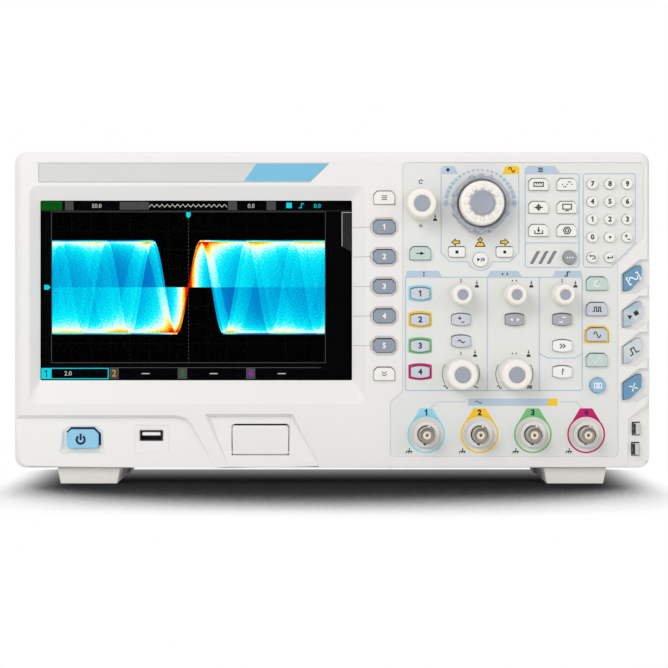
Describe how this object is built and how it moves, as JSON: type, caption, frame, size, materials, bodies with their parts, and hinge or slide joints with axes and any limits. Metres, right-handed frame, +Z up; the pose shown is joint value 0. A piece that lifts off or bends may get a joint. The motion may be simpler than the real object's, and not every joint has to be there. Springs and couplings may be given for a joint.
{
  "type": "bench oscilloscope",
  "caption": "Bench oscilloscope with a wide sunk screen, a control panel of keys and turning knobs, coaxial inputs, fold-out tilt legs, a hinged port cover and a cooling fan",
  "frame": {"origin": "on the table, under the middle of the object's box", "axes": "+X to the right along the width, +Y from the front to the back, +Z up"},
  "size_m": [0.3736, 0.115, 0.195],
  "materials": {
    "bezel_plastic": "fine moulded grain, warm white",
    "panel_plastic": "fine grain, greenish grey, printed lines",
    "window_clear": "clear and glossy",
    "display_black": "dark screen that glows when lit",
    "strip_grey": "bare satin strip with a pale blue end",
    "cover_plastic": "fine moulded grain, warm white",
    "sheet_steel": "zinc plated sheet",
    "circuit_board": "green solder mask",
    "fan_plastic": "dark moulded plastic",
    "jack_metal": "nickel plated",
    "jack_white": "waxy white",
    "contact_gold": "gold plated",
    "connector_metal": "nickel plated shell",
    "dark_plastic": "black moulded plastic",
    "screw_steel": "zinc plated",
    "foot_plastic": "soft moulded plastic",
    "knob_plastic": "satin cream with a grey sunk centre",
    "shuttle_plastic": "satin grey violet",
    "key_white": "satin white rubber keys",
    "key_grey": "satin light grey keys",
    "key_green": "satin pale green keys",
    "key_blue": "satin blue keys",
    "key_clear": "milky translucent keys",
    "softkey_slate": "satin slate grey keys",
    "power_blue": "glossy light blue button"
  },
  "bodies": {
    "case": {"front_bezel": "bezel_plastic", "control_panel": "panel_plastic", "screen_window": "window_clear", "display_module": "display_black", "name_strip": "strip_grey", "rear_cover": "cover_plastic", "inner_chassis": "sheet_steel", "main_board": "circuit_board", "key_board": "circuit_board", "power_supply": "circuit_board", "fan_frame": "fan_plastic", "input_jacks": "jack_metal", "jack_insulators": "jack_white", "jack_contacts": "contact_gold", "usb_port": "connector_metal", "logic_connector": "dark_plastic", "probe_terminals": "connector_metal", "mains_inlet": "dark_plastic", "rear_connectors": "connector_metal", "case_screws": "screw_steel", "feet": "foot_plastic"},
    "power_button": {"power_button": "power_blue"},
    "menu_key": {"menu_key": "key_white"},
    "softkey_1": {"softkey_1": "softkey_slate"},
    "softkey_2": {"softkey_2": "softkey_slate"},
    "softkey_3": {"softkey_3": "softkey_slate"},
    "softkey_4": {"softkey_4": "softkey_slate"},
    "softkey_5": {"softkey_5": "softkey_slate"},
    "page_key": {"page_key": "key_white"},
    "channel_key_1": {"channel_key_1": "key_grey"},
    "channel_key_2": {"channel_key_2": "key_grey"},
    "channel_key_3": {"channel_key_3": "key_grey"},
    "channel_key_4": {"channel_key_4": "key_grey"},
    "auto_key": {"auto_key": "key_blue"},
    "run_stop_key": {"run_stop_key": "key_clear"},
    "single_key": {"single_key": "key_clear"},
    "clear_key": {"clear_key": "key_blue"},
    "stop_key": {"stop_key": "key_white"},
    "play_key": {"play_key": "key_white"},
    "record_key": {"record_key": "key_white"},
    "record_set_key": {"record_set_key": "key_green"},
    "mode_key": {"mode_key": "key_grey"},
    "print_key": {"print_key": "key_blue"},
    "number_keys": {"number_keys": "key_white"},
    "menu_keys": {"menu_keys": "key_white"},
    "math_keys": {"math_keys": "key_grey"},
    "trigger_keys": {"trigger_keys": "key_grey"},
    "analysis_keys": {"analysis_keys": "key_green"},
    "multipurpose_knob": {"multipurpose_knob": "knob_plastic"},
    "jog_dial": {"jog_dial": "knob_plastic"},
    "vertical_position_knob": {"vertical_position_knob": "knob_plastic"},
    "vertical_scale_knob": {"vertical_scale_knob": "knob_plastic"},
    "horizontal_position_knob": {"horizontal_position_knob": "knob_plastic"},
    "horizontal_scale_knob": {"horizontal_scale_knob": "knob_plastic"},
    "trigger_level_knob": {"trigger_level_knob": "knob_plastic"},
    "shuttle_ring": {"shuttle_ring": "shuttle_plastic"},
    "fan_rotor": {"fan_rotor": "fan_plastic"},
    "logic_port_cover": {"logic_port_cover": "bezel_plastic"},
    "tilt_leg_left": {"tilt_leg_left": "foot_plastic"},
    "tilt_leg_right": {"tilt_leg_right": "foot_plastic"}
  },
  "joints": [
    {"name": "power_button_press", "type": "slide", "parent": "case", "child": "power_button", "axis": [0, 1, 0], "range_m": [0, 0.0008], "stiffness_N_per_m": 1500},
    {"name": "menu_key_press", "type": "slide", "parent": "case", "child": "menu_key", "axis": [0, 1, 0], "range_m": [0, 0.0008], "stiffness_N_per_m": 1500},
    {"name": "softkey_1_press", "type": "slide", "parent": "case", "child": "softkey_1", "axis": [0, 1, 0], "range_m": [0, 0.0008], "stiffness_N_per_m": 1500},
    {"name": "softkey_2_press", "type": "slide", "parent": "case", "child": "softkey_2", "axis": [0, 1, 0], "range_m": [0, 0.0008], "stiffness_N_per_m": 1500},
    {"name": "softkey_3_press", "type": "slide", "parent": "case", "child": "softkey_3", "axis": [0, 1, 0], "range_m": [0, 0.0008], "stiffness_N_per_m": 1500},
    {"name": "softkey_4_press", "type": "slide", "parent": "case", "child": "softkey_4", "axis": [0, 1, 0], "range_m": [0, 0.0008], "stiffness_N_per_m": 1500},
    {"name": "softkey_5_press", "type": "slide", "parent": "case", "child": "softkey_5", "axis": [0, 1, 0], "range_m": [0, 0.0008], "stiffness_N_per_m": 1500},
    {"name": "page_key_press", "type": "slide", "parent": "case", "child": "page_key", "axis": [0, 1, 0], "range_m": [0, 0.0008], "stiffness_N_per_m": 1500},
    {"name": "channel_key_1_press", "type": "slide", "parent": "case", "child": "channel_key_1", "axis": [0, 1, 0], "range_m": [0, 0.0008], "stiffness_N_per_m": 1500},
    {"name": "channel_key_2_press", "type": "slide", "parent": "case", "child": "channel_key_2", "axis": [0, 1, 0], "range_m": [0, 0.0008], "stiffness_N_per_m": 1500},
    {"name": "channel_key_3_press", "type": "slide", "parent": "case", "child": "channel_key_3", "axis": [0, 1, 0], "range_m": [0, 0.0008], "stiffness_N_per_m": 1500},
    {"name": "channel_key_4_press", "type": "slide", "parent": "case", "child": "channel_key_4", "axis": [0, 1, 0], "range_m": [0, 0.0008], "stiffness_N_per_m": 1500},
    {"name": "auto_key_press", "type": "slide", "parent": "case", "child": "auto_key", "axis": [0, 1, 0], "range_m": [0, 0.0008], "stiffness_N_per_m": 1500},
    {"name": "run_stop_key_press", "type": "slide", "parent": "case", "child": "run_stop_key", "axis": [0, 1, 0], "range_m": [0, 0.0008], "stiffness_N_per_m": 1500},
    {"name": "single_key_press", "type": "slide", "parent": "case", "child": "single_key", "axis": [0, 1, 0], "range_m": [0, 0.0008], "stiffness_N_per_m": 1500},
    {"name": "clear_key_press", "type": "slide", "parent": "case", "child": "clear_key", "axis": [0, 1, 0], "range_m": [0, 0.0008], "stiffness_N_per_m": 1500},
    {"name": "stop_key_press", "type": "slide", "parent": "case", "child": "stop_key", "axis": [0, 1, 0], "range_m": [0, 0.0008], "stiffness_N_per_m": 1500},
    {"name": "play_key_press", "type": "slide", "parent": "case", "child": "play_key", "axis": [0, 1, 0], "range_m": [0, 0.0008], "stiffness_N_per_m": 1500},
    {"name": "record_key_press", "type": "slide", "parent": "case", "child": "record_key", "axis": [0, 1, 0], "range_m": [0, 0.0008], "stiffness_N_per_m": 1500},
    {"name": "record_set_key_press", "type": "slide", "parent": "case", "child": "record_set_key", "axis": [0, 1, 0], "range_m": [0, 0.0008], "stiffness_N_per_m": 1500},
    {"name": "mode_key_press", "type": "slide", "parent": "case", "child": "mode_key", "axis": [0, 1, 0], "range_m": [0, 0.0008], "stiffness_N_per_m": 1500},
    {"name": "print_key_press", "type": "slide", "parent": "case", "child": "print_key", "axis": [0, 1, 0], "range_m": [0, 0.0008], "stiffness_N_per_m": 1500},
    {"name": "number_keys_press", "type": "slide", "parent": "case", "child": "number_keys", "axis": [0, 1, 0], "range_m": [0, 0.0008], "stiffness_N_per_m": 1500},
    {"name": "menu_keys_press", "type": "slide", "parent": "case", "child": "menu_keys", "axis": [0, 1, 0], "range_m": [0, 0.0008], "stiffness_N_per_m": 1500},
    {"name": "math_keys_press", "type": "slide", "parent": "case", "child": "math_keys", "axis": [0, 1, 0], "range_m": [0, 0.0008], "stiffness_N_per_m": 1500},
    {"name": "trigger_keys_press", "type": "slide", "parent": "case", "child": "trigger_keys", "axis": [0, 1, 0], "range_m": [0, 0.0008], "stiffness_N_per_m": 1500},
    {"name": "analysis_keys_press", "type": "slide", "parent": "case", "child": "analysis_keys", "axis": [0, 1, 0], "range_m": [0, 0.0008], "stiffness_N_per_m": 1500},
    {"name": "multipurpose_knob_turn", "type": "hinge", "parent": "case", "child": "multipurpose_knob", "pos_m": [0.052, -0.0415, 0.1636], "axis": [0, -1, 0], "continuous": true},
    {"name": "jog_dial_turn", "type": "hinge", "parent": "case", "child": "jog_dial", "pos_m": [0.0868, -0.0415, 0.1638], "axis": [0, -1, 0], "continuous": true},
    {"name": "vertical_position_knob_turn", "type": "hinge", "parent": "case", "child": "vertical_position_knob", "pos_m": [0.0755, -0.0415, 0.1109], "axis": [0, -1, 0], "continuous": true},
    {"name": "vertical_scale_knob_turn", "type": "hinge", "parent": "case", "child": "vertical_scale_knob", "pos_m": [0.0755, -0.0415, 0.0645], "axis": [0, -1, 0], "continuous": true},
    {"name": "horizontal_position_knob_turn", "type": "hinge", "parent": "case", "child": "horizontal_position_knob", "pos_m": [0.1068, -0.0415, 0.1109], "axis": [0, -1, 0], "continuous": true},
    {"name": "horizontal_scale_knob_turn", "type": "hinge", "parent": "case", "child": "horizontal_scale_knob", "pos_m": [0.1068, -0.0415, 0.0645], "axis": [0, -1, 0], "continuous": true},
    {"name": "trigger_level_knob_turn", "type": "hinge", "parent": "case", "child": "trigger_level_knob", "pos_m": [0.1347, -0.0415, 0.1109], "axis": [0, -1, 0], "continuous": true},
    {"name": "shuttle_ring_turn", "type": "hinge", "parent": "case", "child": "shuttle_ring", "pos_m": [0.0868, -0.0415, 0.1638], "axis": [0, -1, 0], "range_deg": [-60, 60], "stiffness_Nm_per_rad": 0.03},
    {"name": "fan_rotor_spin", "type": "hinge", "parent": "case", "child": "fan_rotor", "pos_m": [-0.11, 0.0455, 0.1013], "axis": [0, -1, 0], "continuous": true},
    {"name": "logic_port_cover_swing", "type": "hinge", "parent": "case", "child": "logic_port_cover", "pos_m": [-0.0419, -0.039, 0.01825], "axis": [1, 0, 0], "range_deg": [0, 90]},
    {"name": "tilt_leg_left_swing", "type": "hinge", "parent": "case", "child": "tilt_leg_left", "pos_m": [-0.1428, -0.0316, 0.0035], "axis": [-1, 0, 0], "range_deg": [0, 85]},
    {"name": "tilt_leg_right_swing", "type": "hinge", "parent": "case", "child": "tilt_leg_right", "pos_m": [0.1428, -0.0316, 0.0035], "axis": [-1, 0, 0], "range_deg": [0, 85]}
  ]
}
